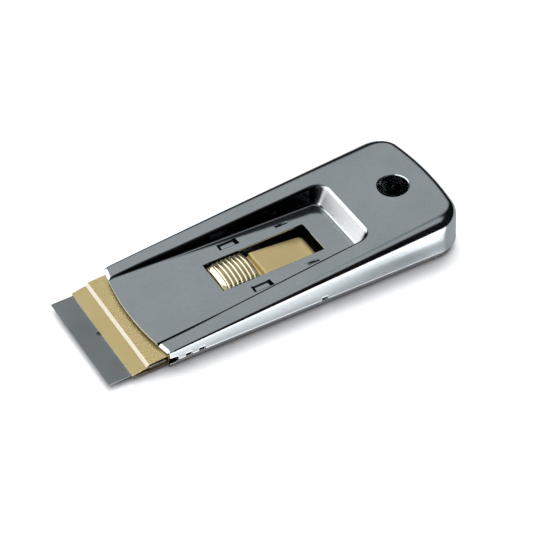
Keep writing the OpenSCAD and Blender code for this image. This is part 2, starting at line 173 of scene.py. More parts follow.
class Sheet:
    """One face of a bent metal sheet: points, their normals and faces, thickened at the end."""

    def __init__(self):
        self.points = []
        self.normals = []
        self.faces = []

    def add(self, points, normals):
        start = len(self.points)
        self.points.extend(np.asarray(p, float) for p in points)
        self.normals.extend(np.asarray(n, float) for n in normals)
        return list(range(start, len(self.points)))

    def rows(self, rows):
        """Quads between neighbouring rows of point numbers, all wound to suit the normals."""
        faces = quads(rows)
        if sum(self.side(f) for f in faces) < 0:
            faces = [f[::-1] for f in faces]
        self.faces.extend(faces)

    def side(self, ring):
        """Positive if a face winds to suit its points' normals, by its area."""
        pts = [self.points[v] for v in ring]
        turn = sum(np.cross(pts[i] - pts[0], pts[i + 1] - pts[0]) for i in range(1, len(pts) - 1))
        return float(np.dot(turn, sum(self.normals[v] for v in ring)))

    def fill(self, loops):
        """Triangles over a flat region; the first loop is its outline and the rest convex holes."""
        flat = [v for loop in loops for v in loop]
        coords = [Vector((self.points[v][0], self.points[v][1])) for v in flat]
        edges, start = [], 0
        for loop in loops:
            edges += [(start + i, start + (i + 1) % len(loop)) for i in range(len(loop))]
            start += len(loop)
        result = delaunay_2d_cdt(coords, edges, [], 1, 1e-7)
        source = [ids[0] for ids in result[3]]
        tris = [tuple(flat[source[i]] for i in tri) for tri in result[2]]
        holes = [set(loop) for loop in loops[1:]]
        tris = [t for t in tris if not any(hole.issuperset(t) for hole in holes)]
        if sum(self.side(t) for t in tris) < 0:
            tris = [t[::-1] for t in tris]
        self.faces.extend(tris)

    def weld(self, near=2e-4):
        """Merges points that lie on each other."""
        keys, remap, points, normals = {}, [], [], []
        for p, n in zip(self.points, self.normals):
            key = tuple(np.round(p / near).astype(int))
            if key not in keys:
                keys[key] = len(points)
                points.append(p)
                normals.append(n.copy())
            else:
                normals[keys[key]] += n
            remap.append(keys[key])
        self.points = points
        self.normals = [unit(n) for n in normals]
        faces = []
        for f in self.faces:
            ring = [remap[v] for v in f]
            ring = [v for i, v in enumerate(ring) if v != ring[i - 1]]
            if len(set(ring)) >= 3:
                faces.append(tuple(ring))
        self.faces = faces

    def rims(self):
        """The open edges, chained into loops, each with the face on its left."""
        used = dict.fromkeys((f[i - 1], v) for f in self.faces for i, v in enumerate(f))
        after = {}
        for a, b in used:
            if (b, a) not in used:
                after.setdefault(a, []).append(b)
        loops = []
        while after:
            start = next(iter(after))
            loop = [start]
            while True:
                nexts = after[loop[-1]]
                step = nexts.pop()
                if not nexts:
                    del after[loop[-1]]
                if step == start:
                    break
                loop.append(step)
            loops.append(loop)
        return loops


def rim_outward(points, normals, loop):
    """At each point of a rim, the direction in the sheet that leads off it."""
    count = len(loop)
    out = []
    for i in range(count):
        before = points[loop[i]] - points[loop[i - 1]]
        after = points[loop[(i + 1) % count]] - points[loop[i]]
        n = normals[loop[i]]
        a = unit(np.cross(unit(before), n))
        b = unit(np.cross(unit(after), n))
        mean = a + b
        size = np.linalg.norm(mean)
        if size < 0.5:
            out.append(b)
        else:
            mean = mean / size
            out.append(mean / max(0.6, float(np.dot(mean, a))))
    return out


def cut_edge(thickness):
    """Steps round a cut edge from skin to back: how far out, how far up its normal turns, how deep."""
    turns = quarter(CUT_STEPS)
    front = [(math.sin(t), math.cos(t), CUT_R * (1 - math.cos(t))) for t in turns[1:]]
    back = [(math.cos(t), -math.sin(t), thickness - CUT_R * (1 - math.sin(t))) for t in turns[:-1]]
    return front + back


def thick_mesh(name, sheet, thickness):
    """A closed solid from a sheet: its skin, its back, and rounded cut edges."""
    sheet.weld()
    p = sheet.points
    n = sheet.normals
    count = len(p)
    points = list(p) + [a - thickness * b for a, b in zip(p, n)]
    normals = list(n) + [-b for b in n]
    faces = list(sheet.faces) + [tuple(count + v for v in reversed(f)) for f in sheet.faces]
    for loop in sheet.rims():
        off = rim_outward(p, n, loop)
        rows = [loop]
        for across, up, sunk in cut_edge(thickness):
            row = []
            for v, o in zip(loop, off):
                row.append(len(points))
                points.append(p[v] + o * CUT_R * across - n[v] * sunk)
                normals.append(unit(o / np.linalg.norm(o) * across + n[v] * up))
            rows.append(row)
        rows.append([count + v for v in loop])
        for a, b in zip(rows, rows[1:]):
            for i in range(len(loop)):
                j = (i + 1) % len(loop)
                faces.append((a[j], a[i], b[i], b[j]))
    return make_mesh(name, points, faces, normals)


def make_mesh(name, points, faces, normals=None):
    """An object from points in millimetres, shaded smooth with the given normals."""
    mesh = bpy.data.meshes.new(name)
    mesh.from_pydata([tuple(np.asarray(p) * MM) for p in points], [], faces)
    mesh.update()
    for poly in mesh.polygons:
        poly.use_smooth = True
    if normals is not None:
        mesh.normals_split_custom_set_from_vertices([tuple(n) for n in normals])
    return new_object(name, mesh)


def finish_piece(obj, body, node, material):
    """Puts a piece in its node's place, on its body and in its slot."""
    obj.data.materials.append(material)
    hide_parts(node)
    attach(obj, body)


# Top shell

EDGE_STEPS = 18
EDGE_FRONT = 1.1
EDGE_REAR = 5.0
EDGE_END = 3.2
EDGE_GROWTH = 1.3
ROLL_POWER = 2.4
WALL_STEPS = 10
WALL_CROWDING = 1.6
FLARE_OUT = 0.07
FLARE_UP = 0.45
NOSE_R = 2.2
NOSE_STEPS = 7
NOSE_TURN = math.radians(62)
NOSE_SET = NOSE_R * math.sin(NOSE_TURN)
NOSE_START = 41.9
WALL_CURL = 0.12
PAN_START = 43.1
SPLIT_X = 30
CORNER_STEPS = 24
BOW_STEPS = 16
MOUTH_ANGLES = (0, 15, 30, 45, 60, 70, 80, 86, 90)
PANEL_CORNER_STEPS = 20
LIP_SIDE = 1.4
LIP_REAR = 2.0
SIDE_DRAFT = 0.2
FOOT_R = 1.2
PLANE_STEPS = 6
LAND_STEPS = 6
ROLL_STEPS = 10
RIM_BREAK = 0.4


def mirrored_too(half):
    """A half outline that ends on the middle line, followed by its mirror image."""
    return half + [(p * MIRROR_Y, n * MIRROR_Y) for p, n in reversed(half[:-1])]


def arc(centre, radius, start, end, steps, first):
    """Points on a plan arc and their outward normals, with angles in degrees."""
    out = []
    for i in range(first, steps + 1):
        a = math.radians(start + i / steps * (end - start))
        n = np.array([math.cos(a), math.sin(a), 0.0])
        out.append((centre + radius * n, n))
    return out


def outline_stations(first):
    """Plan points of the body's side and rear with outward normals, from +Y front to -Y front."""
    xs = list(np.linspace(first, SPLIT_X, 12))
    xs += list(np.linspace(SPLIT_X - 1, X_REAR + CORNER_R + 3, 50))
    marks = [MOUTH_X - MOUTH_R * math.sin(t) for t in np.radians(MOUTH_ANGLES)]
    marks.append(MOUTH_X - MOUTH_R - 0.1)
    for c in CRIMPS:
        a, b = X_CORNER - c + CRIMP_LEN / 2, X_CORNER - c - CRIMP_LEN / 2
        marks += [a + 0.12, a, a - 0.15, a - 0.5, b + 0.5, b + 0.15, b, b - 0.12]
    xs = sorted({round(x, 3) for x in xs + marks if x <= first}, reverse=True)
    normal = unit(np.array([FLARE, 1.0, 0.0]))
    half = [(np.array([x, side_y(x), 0.0]), normal) for x in xs]
    x_c, y_c = rear_corner()
    start = 90 - math.degrees(math.atan(FLARE))
    bow = 180 - math.degrees(math.asin(y_c / (REAR_BOW - CORNER_R)))
    half += arc(np.array([x_c, y_c, 0.0]), CORNER_R, start, bow, CORNER_STEPS, 0)
    half += arc(np.array([X_BOW, 0.0, 0.0]), REAR_BOW, bow, 180, BOW_STEPS, 1)
    return mirrored_too(half)


def rear_corner():
    """Centre of the rear corner's round, on the +Y side."""
    y = side_y(X_REAR + CORNER_R, CORNER_R)
    x = X_BOW - math.sqrt((REAR_BOW - CORNER_R) ** 2 - y * y)
    return x, side_y(x, CORNER_R)


def side_edge(x, way, crimp, plain):
    """Height of an edge along the side: arched up or down at the mouth, moved at the crimps."""
    if x > MOUTH_X - MOUTH_R:
        reach = min(1.0, max(0.0, (MOUTH_X - x) / MOUTH_R))
        return MOUTH_Z + way * MOUTH_R * math.sqrt(1 - reach * reach)
    if any(abs(X_CORNER - c - x) <= CRIMP_LEN / 2 - 0.1 for c in CRIMPS):
        return crimp
    return plain


def edge_size(x):
    """How far in and down the rounded edge reaches; it grows towards the rear."""
    t = min(1.0, max(0.0, (X_CORNER - x) / (X_CORNER - X_REAR)))
    return EDGE_FRONT + (EDGE_REAR - EDGE_FRONT) * t ** EDGE_GROWTH


def edge_section(p, n):
    """Points and normals from the skirt's lower edge up over the rounded edge, for one station."""
    end = float(max(0.0, -n[0]) ** 2)
    size = edge_size(p[0]) * (1 - end) + EDGE_END * end
    corner = np.array([p[0], p[1], 0.0])
    for _ in range(3):
        rise = top_z(corner[0]) - SEAM_H
        corner = p - n * (DRAFT * rise + FLARE_OUT)
        corner[2] = top_z(corner[0])
    up_wall = unit(np.array([-n[0] * DRAFT, -n[1] * DRAFT, 1.0]))
    out_top = unit(n - np.dot(n, UP) * UP)
    lean = float(np.dot(out_top, up_wall))
    face = unit(out_top - lean * up_wall)
    crown = unit(up_wall - lean * out_top)
    wall_top = corner - up_wall * size
    low = SEAM_H
    if abs(n[1]) > SIDE_NORMAL:
        low = side_edge(p[0], 1, SEAM_H + CRIMP_H, SEAM_H)
    points, normals = [], []
    for k in range(WALL_STEPS):
        z = low + (wall_top[2] - low) * (k / WALL_STEPS) ** WALL_CROWDING
        flare, tilt = skirt_flare(z - low)
        points.append(wall_top - up_wall * (wall_top[2] - z) / up_wall[2] + n * flare)
        normals.append(unit(face + np.array([0, 0, tilt])))
    for t in quarter(EDGE_STEPS):
        x = max(0.0, math.cos(t)) ** (2 / ROLL_POWER)
        y = math.sin(t) ** (2 / ROLL_POWER)
        points.append(corner - out_top * size * (1 - x) - up_wall * size * (1 - y))
        normals.append(unit(x ** (ROLL_POWER - 1) * face + y ** (ROLL_POWER - 1) * crown))
    return points, normals


def skirt_flare(height):
    """How far the skirt turns out at this height over its lower edge, and how its normal tilts."""
    t = max(0.0, 1 - height / FLARE_UP)
    return FLARE_OUT * t * t, 2 * FLARE_OUT / FLARE_UP * t


def pocket_stations():
    """Plan points of the sunk floor's edge with outward normals, from +Y front to -Y front."""
    centre = np.array([PANEL_X + PANEL_R, PANEL_REAR - PANEL_R, 0.0])
    gain = (PANEL_FRONT - PANEL_REAR) / (X_CORNER - centre[0])
    normal = unit(np.array([-gain, 1.0, 0.0]))
    start = math.degrees(math.atan2(normal[1], normal[0]))
    first = centre + PANEL_R * normal
    xs = list(np.linspace(PAN_START, SPLIT_X, 14)) + list(np.linspace(SPLIT_X - 1, first[0] + 0.5, 36))
    half = [(np.array([x, first[1] + gain * (x - first[0]), 0.0]), normal) for x in xs]
    half += arc(centre, PANEL_R, start, 180, PANEL_CORNER_STEPS, 0)
    for y in np.linspace(centre[1] - 1.5, 0, 7):
        half.append((np.array([PANEL_X, y, 0.0]), np.array([-1.0, 0.0, 0.0])))
    return mirrored_too(half)


def pocket_rounds(p, n):
    """The sunk wall's normal, and the centre and radius of the rounds at its lip and its foot."""
    depth = top_z(p[0]) - PANEL_H
    rear = float(n[0] ** 2)
    lip = LIP_SIDE + (LIP_REAR - LIP_SIDE) * rear
    draft = SIDE_DRAFT + (PANEL_DRAFT - SIDE_DRAFT) * rear
    meet = math.acos(max(-1.0, 1 - depth / (lip + FOOT_R)))
    slope = min(math.atan2(1, draft), 0.96 * meet)
    wall = unit(-n * math.sin(slope) - DOWN * math.cos(slope))
    down = unit(-n * math.cos(slope) + DOWN * math.sin(slope))
    # where the wall's plane meets the floor and the top plane
    low = np.array([p[0], p[1], PANEL_H])
    height = float(np.dot(np.array([0, 0, depth]), UP)) / -float(np.dot(down, UP))
    high = low - down * height
    half_top = math.acos(float(np.dot(wall, UP))) / 2
    half_low = math.acos(float(np.dot(wall, FLAT))) / 2
    lip_cut = min(lip * math.tan(half_top), height * 0.6)
    foot_cut = min(FOOT_R * math.tan(half_low), height - lip_cut - 0.01)
    lip_r = lip_cut / math.tan(half_top)
    foot_r = foot_cut / math.tan(half_low)
    return wall, high + down * lip_cut - wall * lip_r, lip_r, low - down * foot_cut + wall * foot_r, foot_r


def pocket_section(p, n):
    """Points and normals from the top land over its lip, down the sunk wall and onto the floor."""
    wall, lip_c, lip_r, foot_c, foot_r = pocket_rounds(p, n)
    points, normals = [], []
    for k in range(ROUND_STEPS + 1):
        m = slerp(UP, wall, k / ROUND_STEPS)
        points.append(lip_c + lip_r * m)
        normals.append(m)
    span = foot_c - foot_r * wall - lip_c - lip_r * wall
    for k in range(1, PLANE_STEPS):
        points.append(lip_c + lip_r * wall + span * k / PLANE_STEPS)
        normals.append(wall)
    for k in range(ROUND_STEPS + 1):
        m = slerp(wall, FLAT, k / ROUND_STEPS)
        points.append(foot_c - foot_r * m)
        normals.append(m)
    return points, normals


def to_bow(points, x_was, base):
    """Moves a front section onto the bowed line where the nose starts, and up or down with the top."""
    out = []
    for q in points:
        x = bow_x(q[1]) - NOSE_SET
        share = min(1.0, max(0.0, (q[2] - base) / (top_z(x_was) - base)))
        out.append((x, q[1], q[2] - SLOPE * (x - x_was) * share))
    return out


def round_rect(x0, x1, y0, y1, r, z, steps=5):
    """A rectangle with rounded corners at height z, counter-clockwise from above."""
    pts = []
    left, right, low, high = x0 + r, x1 - r, y0 + r, y1 - r
    for cx, cy, a0 in ((right, high, 0), (left, high, 90), (left, low, 180), (right, low, 270)):
        for k in range(steps + 1):
            a = math.radians(a0 + 90 * k / steps)
            pts.append((cx + r * math.cos(a), cy + r * math.sin(a), z))
    return pts


def nose_columns(sheet, ids, weights, dirs):
    """Curls a front section forward and down by the nose radius; returns the column at its foot."""
    rows = [ids]
    ahead = np.array([1.0, 0.0, 0.0])
    for k in range(1, NOSE_STEPS + 1):
        t = NOSE_TURN * k / NOSE_STEPS
        points, normals = [], []
        for v, w, d in zip(ids, weights, dirs):
            n = sheet.normals[v]
            f = unit(ahead - np.dot(ahead, d) * d)
            reach = NOSE_R * math.sin(t) - CUT_R * (1 - w) * k / NOSE_STEPS
            points.append(sheet.points[v] + f * reach - d * w * NOSE_R * (1 - math.cos(t)))
            face = bow_normal(sheet.points[v][1])
            face = unit(face - np.dot(face, n) * n)
            normals.append(unit(n * (math.cos(t) * w + 1 - w) + face * math.sin(t) * w))
        rows.append(sheet.add(points, normals))
    sheet.rows(rows)
    return [row[-1] for row in rows]


def section_rows(s, stations, section, base):
    """A row of points for each station; the first and the last are moved onto the bowed front."""
    rows = []
    for i, (p, n) in enumerate(stations):
        points, normals = section(p, n)
        if i in (0, len(stations) - 1):
            points = to_bow(points, p[0], base)
        rows.append(s.add(points, normals))
    s.rows(rows)
    return rows


def top_shell_sheet():
    """The top shell's skin: outer wall and edge, sunk walls, top land, front ends and sunk floor."""
    s = Sheet()
    outer = section_rows(s, outline_stations(NOSE_START), edge_section, SEAM_H)
    inner = section_rows(s, pocket_stations(), pocket_section, PANEL_H)
    hole = hole_rows(s)
    fronts = [land_front(s, outer[side][-1], inner[side][0]) for side in (0, -1)]
    land = [row[-1] for row in outer] + fronts[1]
    land += [row[0] for row in reversed(inner)] + fronts[0][::-1]
    s.fill([land, hole])
    ends = [front_end(s, outer[side], fronts[side], inner[side]) for side in (0, -1)]
    panel_floor(s, inner, ends)
    return s


def front_end(s, outer, front, inner):
    """Curls one rim's front end, from the skirt to the sunk floor; returns the column at its foot."""
    weights = [WALL_CURL + (1 - WALL_CURL) * s.normals[v][2] ** 2 for v in outer]
    weights += [1.0] * len(front) + curl_weights(len(inner))
    dirs = [s.normals[v] for v in outer + front] + [UP] * len(inner)
    return nose_columns(s, outer + front + inner, weights, dirs)


def curl_weights(count):
    """The curl fades out down the sunk wall."""
    return [0.5 + 0.5 * math.cos(math.pi * k / (count - 1)) for k in range(count)]


def land_front(s, a, b):
    """Points across a rim's front end, between the rounded edge and the sunk wall's lip."""
    y0, y1 = s.points[a][1], s.points[b][1]
    points = []
    for k in range(1, LAND_STEPS):
        y = y0 + (y1 - y0) * k / LAND_STEPS
        x = bow_x(y) - NOSE_SET
        points.append((x, y, top_z(x)))
    return s.add(points, [UP] * len(points))


def hole_rows(s):
    """The drawn-in rim of the hanging hole; returns its outer loop on the top land."""
    rows = []
    tilt = np.array([1, 0, -SLOPE]) / math.hypot(1, SLOPE)
    across = np.array([0, 1, 0])
    centre = np.array([X_HOLE, 0, top_z(X_HOLE) - HOLE_ROLL * math.hypot(1, SLOPE)])
    turns = [2 * math.pi * k / HOLE_COUNT for k in range(HOLE_COUNT)]
    ways = [math.cos(a) * tilt + math.sin(a) * across for a in turns]
    for t in quarter(ROLL_STEPS):
        normals = [math.cos(t) * UP - math.sin(t) * out for out in ways]
        points = [centre + (RIM_R + HOLE_ROLL) * out + HOLE_ROLL * m for out, m in zip(ways, normals)]
        rows.append(s.add(points, normals))
    for depth in (RIM_BREAK, HOLE_DEPTH - HOLE_ROLL):
        rows.append(s.add([centre + RIM_R * out - UP * depth for out in ways], [-out for out in ways]))
    for row in rows:
        row.append(row[0])
    s.rows(rows)
    return rows[0][:-1]


def front_bow(s, start, end, back, z, normal):
    """Points along the bowed front between two points, set back from it."""
    y0, y1 = s.points[start][1], s.points[end][1]
    ys = [y0 + (y1 - y0) * k / BOW_COUNT for k in range(1, BOW_COUNT)]
    return s.add([(bow_x(y) - back, y, z) for y in ys], [normal] * len(ys))


def panel_floor(s, inner, ends):
    """The flat floor of the sunk panel, with its window, bridges and louvres."""
    floor = [row[-1] for row in inner]
    left, right = ends
    bow = front_bow(s, left[-1], right[-1], CUT_R, PANEL_H, FLAT)
    outline = left + bow + list(reversed(right)) + list(reversed(floor))
    half = WINDOW_W / 2 + CUT_R
    corners = round_rect(X_WINDOW - WINDOW_LEN - CUT_R, X_WINDOW + CUT_R, -half, half, WINDOW_R, PANEL_H)
    loops = [outline, s.add(corners, [FLAT] * len(corners))]
    for side in (1, -1):
        loops.append(bridge(s, side))
        loops.append(louvre(s, side))
    s.fill(loops)


def bridge(s, side):
    """A guide bridge pressed down between two slots; returns the outline that it hangs in."""
    x0, x1 = X_BRIDGE - BRIDGE_LEN / 2 - CUT_R, X_BRIDGE + BRIDGE_LEN / 2 + CUT_R
    y0, y1 = side * BRIDGE_Y - BRIDGE_W / 2, side * BRIDGE_Y + BRIDGE_W / 2
    t0 = X_BRIDGE - BRIDGE_LEN / 2 + BRIDGE_SLOT + CUT_R
    t1 = X_BRIDGE + BRIDGE_LEN / 2 - BRIDGE_SLOT - CUT_R
    ys = np.linspace(y0, y1, 15)
    rows = []
    for x in np.linspace(t0, t1, 9):
        points, normals = [], []
        end = min(1.0, min(x - t0, t1 - x) / BRIDGE_EASE)
        drop = BRIDGE_DROP * (1 + BRIDGE_DIP * (1 - end))
        for y in ys:
            u = min(1.0, min(y - y0, y1 - y) / BRIDGE_RAMP)
            z = PANEL_H - drop * (0.5 - 0.5 * math.cos(math.pi * u))
            slope = drop * 0.5 * math.pi * math.sin(math.pi * u) / BRIDGE_RAMP
            lean = slope if y - y0 < y1 - y else -slope
            points.append((x, y, z))
            normals.append(unit(np.array([0, lean if u < 1 else 0.0, 1.0])))
        rows.append(s.add(points, normals))
    s.rows(rows)
    low = [row[0] for row in rows]
    high = [row[-1] for row in rows]
    ring = ((x0, y0), (x1, y0), (x1, y1), (x0, y1))
    corners = s.add([(x, y, PANEL_H) for x, y in ring], [FLAT] * 4)
    return [corners[0]] + low + [corners[1], corners[2]] + list(reversed(high)) + [corners[3]]


def louvre(s, side):
    """A louvre: a tongue bent down towards the rear; returns the outline that it hangs in."""
    x0, x1 = X_LOUVRE - LOUVRE_LEN / 2 - CUT_R, X_LOUVRE + LOUVRE_LEN / 2
    w = LOUVRE_W / 2 + CUT_R
    y0, y1 = side * LOUVRE_Y - w, side * LOUVRE_Y + w
    tongue = LOUVRE_W / 2 - TONGUE_GAP
    rows = []
    for k in range(9):
        along = TONGUE_LEN * k / 8
        bend = TONGUE_BEND * min(1.0, along / TONGUE_EASE)
        x, z = x1 - along * math.cos(bend / 2), PANEL_H - along * math.sin(bend)
        n = np.array([-math.sin(bend), 0, math.cos(bend)])
        ys = np.linspace(side * LOUVRE_Y - tongue, side * LOUVRE_Y + tongue, 4)
        rows.append(s.add([(x, y, z) for y in ys], [n] * 4))
    s.rows(rows)
    ring = ((x1, y0), (x1, y1), (x0, y1), (x0, y0))
    corners = s.add([(x, y, PANEL_H) for x, y in ring], [FLAT] * 4)
    return corners[:1] + rows[0] + corners[1:]


# Bottom shell

PAN_STEPS = 9
PAN_BACK = 0.3
PAN_NOTCH = 0.8
MOUTH_LIP = 0.4
MOUTH_LIP_UP = 0.8


def pan_section(p, n):
    """Points and normals from the pan's rim down its wall and round its lower edge."""
    q = p - n * PAN_INSET
    high, lip = PAN_H, 0.0
    if abs(n[1]) > SIDE_NORMAL:
        high = side_edge(p[0], -1, SEAM_H - PAN_NOTCH, PAN_H)
        lip = MOUTH_LIP if p[0] > MOUTH_X - MOUTH_R else 0.0
    points, normals = [], []
    for k in range(PAN_STEPS):
        z = high + (PAN_EDGE_R - high) * k / PAN_STEPS
        t = max(0.0, 1 - (high - z) / MOUTH_LIP_UP)
        points.append(np.array([q[0], q[1], z]) + n * lip * t * t)
        normals.append(unit(n + np.array([0, 0, 2 / MOUTH_LIP_UP * lip * t])))
    centre = q - n * PAN_EDGE_R + np.array([0, 0, PAN_EDGE_R])
    for k in range(ROUND_STEPS + 1):
        m = slerp(n, DOWN, k / ROUND_STEPS)
        points.append(centre + PAN_EDGE_R * m)
        normals.append(m)
    return points, normals


def bottom_shell_sheet():
    """The pan's skin: its wall, its rounded lower edge and its floor with the hanging hole."""
    s = Sheet()
    rows = []
    stations = outline_stations(PAN_START)
    for i, (p, n) in enumerate(stations):
        points, normals = pan_section(p, n)
        if i in (0, len(stations) - 1):
            points = [(bow_x(v[1]) - PAN_BACK, v[1], v[2]) for v in points]
        rows.append(s.add(points, normals))
    s.rows(rows)
    floor = [row[-1] for row in rows]
    bow = front_bow(s, floor[0], floor[-1], PAN_BACK, 0.0, DOWN)
    reach = HOLE_R + CUT_R
    turns = [2 * math.pi * k / HOLE_COUNT for k in range(HOLE_COUNT)]
    ring = [(X_HOLE + reach * math.cos(a), reach * math.sin(a), 0.0) for a in turns]
    s.fill([bow + list(reversed(floor)), s.add(ring, [DOWN] * HOLE_COUNT)])
    return s


# Carrier, spring and button

BLADE_Z = 1.85
BLADE_T = 0.25
BUTTON_LEN = 12.9
CARRIER_T = 0.45
CARRIER_HALF = 20.15
X_LIP = X_EDGE - 7.5
X_STEP = X_EDGE - 12.4
X_BACK = X_EDGE - 19.0
X_SPINE = X_BACK + 5.6
X_TRAY = X_EDGE - 8.3
X_FOLD = X_BACK - 0.8
X_BUTTON = X_WINDOW - 0.75
X_BUTTON_REAR = X_BUTTON - BUTTON_LEN
X_PLATE_REAR = X_BUTTON + 10.0
X_RIVETS = X_PLATE_REAR + 5.5
X_TAIL = X_BUTTON_REAR - 22.3
PLATE_H = 4.75
TRAY_H = 1.4
SPRING_TOP = 3.85
DIP_H = 3.5
LEAF_H = 4.8
LEAF_HALF = 5.5
LEAF_R = 2.4
ROOT_HALF = 17.2
CURL_H = 2.75
CURL_R = 1.85
CURL_TURN = 60
STRIP_POINTS = 13
CORNER_POINTS = 6
BUTTON_TOP = 7.9
BUTTON_HALF = 6.0
BUTTON_ARCH = 1.4
BUTTON_R = 0.5
BUTTON_SHOULDER = 0.35
BUTTON_FACE = ((0.0, SPRING_TOP, 0), (0.0, 5.0, 0),
               (0.0, 5.6, 0.25), (0.04, 5.8, 0.3), (0.12, 5.95, 0.35))
BUTTON_FOOT = ((BUTTON_LEN, 6.0, 0.7), (BUTTON_LEN, 5.0, 0.3), (BUTTON_LEN, SPRING_TOP, 0))
BEVEL_LEN = 1.26
BEVEL_UP = 1.3
BEVEL_SAG = 0.08
RIDGES = 7
RIDGE_POINTS = 14
RIDGE_START = 1.55
RIDGE_RUN = BUTTON_LEN - 2.0
RIDGE_SHAPE = 0.65
GROOVE = 0.70
CROWN_FALL = 0.35
REAR_ROLL = (0.45, 0.35)


def smooth_path(corners):
    """Points (x, z) along a path of corners (x, z, radius), each corner rounded."""
    path = [np.array(c[:2], float) for c in corners]
    out = [path[0]]
    for i in range(1, len(path) - 1):
        before, after = path[i] - path[i - 1], path[i + 1] - path[i]
        a, b = unit(before), unit(after)
        turn = math.acos(max(-1.0, min(1.0, float(np.dot(a, b)))))
        if turn < 0.01:
            out.append(path[i])
            continue
        room = 0.49 * min(np.linalg.norm(before), np.linalg.norm(after))
        reach = min(corners[i][2] * math.tan(turn / 2), room)
        start, end = path[i] - a * reach, path[i] + b * reach
        for k in range(CORNER_POINTS + 1):
            t = k / CORNER_POINTS
            out.append((1 - t) ** 2 * start + 2 * t * (1 - t) * path[i] + t * t * end)
    out.append(path[-1])
    return out


def strip_sheet(path, half_width):
    """A sheet bent along an (x, z) path that runs from front to rear, with its skin on top."""
    s = Sheet()
    rows = []
    for i, q in enumerate(path):
        ahead = unit(path[min(i + 1, len(path) - 1)] - path[max(i - 1, 0)])
        n = np.array([ahead[1], 0, -ahead[0]])
        w = half_width(q[0]) - CUT_R
        ys = np.linspace(-w, w, STRIP_POINTS)
        rows.append(s.add([(q[0], y, q[1]) for y in ys], [n] * STRIP_POINTS))
    s.rows(rows)
    return s


def carrier_half(x):
    """Half the width of both jaws, the same all along."""
    return CARRIER_HALF


def carrier_plate_sheet():
    """The upper jaw: lip, bright step and the flat part that goes into the body."""
    corners = [(X_LIP - CUT_R, BLADE_Z + BLADE_T + CARRIER_T, 0),
               (X_STEP, 3.5, 0.5),
               (X_STEP - 0.9, 4.5, 0.35),
               (X_STEP - 6.9, PLATE_H, 3.0),
               (X_PLATE_REAR + CUT_R, PLATE_H, 0)]
    return strip_sheet(smooth_path(corners), carrier_half)


def blade_tray_sheet():
    """The lower jaw: it runs under the blade and its spine, then folds up to the upper jaw."""
    x_hop = X_SPINE + 0.35
    corners = [(X_TRAY - CUT_R, BLADE_Z, 0),
               (x_hop + 0.5, BLADE_Z, 0.2),
               (x_hop, TRAY_H, 0.2),
               (X_FOLD, TRAY_H, 0.2),
               (X_FOLD, PLATE_H - CARRIER_T, 0.2),
               (X_PLATE_REAR + CUT_R, PLATE_H - CARRIER_T, 0)]
    return strip_sheet(smooth_path(corners), carrier_half)


def leaf_half(x):
    """Half the leaf spring's width: a wide root, a narrow leaf and a tail with round corners."""
    if x > X_PLATE_REAR + 0.55:
        return ROOT_HALF
    back = x - X_TAIL
    if back < LEAF_R:
        return LEAF_HALF - LEAF_R + math.sqrt(max(0.0, LEAF_R ** 2 - (LEAF_R - max(back, 0.02)) ** 2))
    return LEAF_HALF


def lock_spring_sheet():
    """The leaf spring: its root under the jaws, the dip behind the button, its slope and its curl."""
    x_curl = X_TAIL + CURL_R * math.sin(math.radians(CURL_TURN))
    corners = [(X_RIVETS + 4.5, SPRING_TOP, 0),
               (X_PLATE_REAR + 0.6, SPRING_TOP, 0),
               (X_PLATE_REAR + 0.5, SPRING_TOP, 0),
               (X_BUTTON_REAR - 0.5, SPRING_TOP, 0.3),
               (X_BUTTON_REAR - 1.0, DIP_H, 0.3),
               (X_BUTTON_REAR - 2.0, DIP_H, 0.2),
               (X_BUTTON_REAR - 2.3, LEAF_H, 0.3),
               (X_BUTTON_REAR - 3.3, LEAF_H, 0.5),
               (x_curl, CURL_H, 0)]
    path = smooth_path(corners)
    for a in np.radians(np.linspace(5, CURL_TURN, 12)):
        path.append(np.array([x_curl - CURL_R * math.sin(a), CURL_H - CURL_R * (1 - math.cos(a))]))
    fine = []
    for a, b in zip(path, path[1:]):
        count = max(1, int(np.linalg.norm(b - a) / 0.6))
        fine += [a + (b - a) * k / count for k in range(count)]
    fine.append(path[-1])
    return strip_sheet(fine, leaf_half)


def button_profile():
    """The button's middle line from front foot to rear foot, with how far its sides are arched."""
    pts = list(BUTTON_FACE)
    x, z, arched = pts[-1]
    for k in range(1, 7):
        t = k / 6
        rise = BEVEL_UP * t - BEVEL_SAG * math.sin(math.pi * t)
        pts.append((x + BEVEL_LEN * t, z + rise, arched + (1 - arched) * t))
    for i in range(RIDGES * RIDGE_POINTS + 1):
        u = i / RIDGE_POINTS
        share = u / RIDGES
        groove = GROOVE * (1 - abs(math.sin(math.pi * u)) ** RIDGE_SHAPE)
        fall = CROWN_FALL * (2 * share - 1) ** 2
        pts.append((RIDGE_START + u * (RIDGE_RUN / RIDGES), BUTTON_TOP - groove - fall, 1))
    x, z, arched = pts[-1]
    for a in quarter(5)[1:]:
        pts.append((x + REAR_ROLL[0] * math.sin(a), z - REAR_ROLL[1] * (1 - math.cos(a)), 1))
    return pts + list(BUTTON_FOOT)


def button_cross():
    """Across the button: place, drop below the crown, and share of the way down the side."""
    flat = BUTTON_HALF - BUTTON_R
    crown = []
    for k in range(25):
        y = -flat + 2 * flat * k / 24
        crown.append((y, BUTTON_ARCH * (y / BUTTON_HALF) ** 2, 0))
    edge = crown[-1][1] + BUTTON_SHOULDER
    side = []
    for a in quarter(6)[1:]:
        side.append((flat + BUTTON_R * math.sin(a), edge + BUTTON_R * (1 - math.cos(a)), 0))
    for k in range(1, 5):
        side.append((BUTTON_HALF, 0, k / 4))
    other = [(-y, drop, down) for y, drop, down in reversed(side)]
    return other + crown + side, edge + BUTTON_R


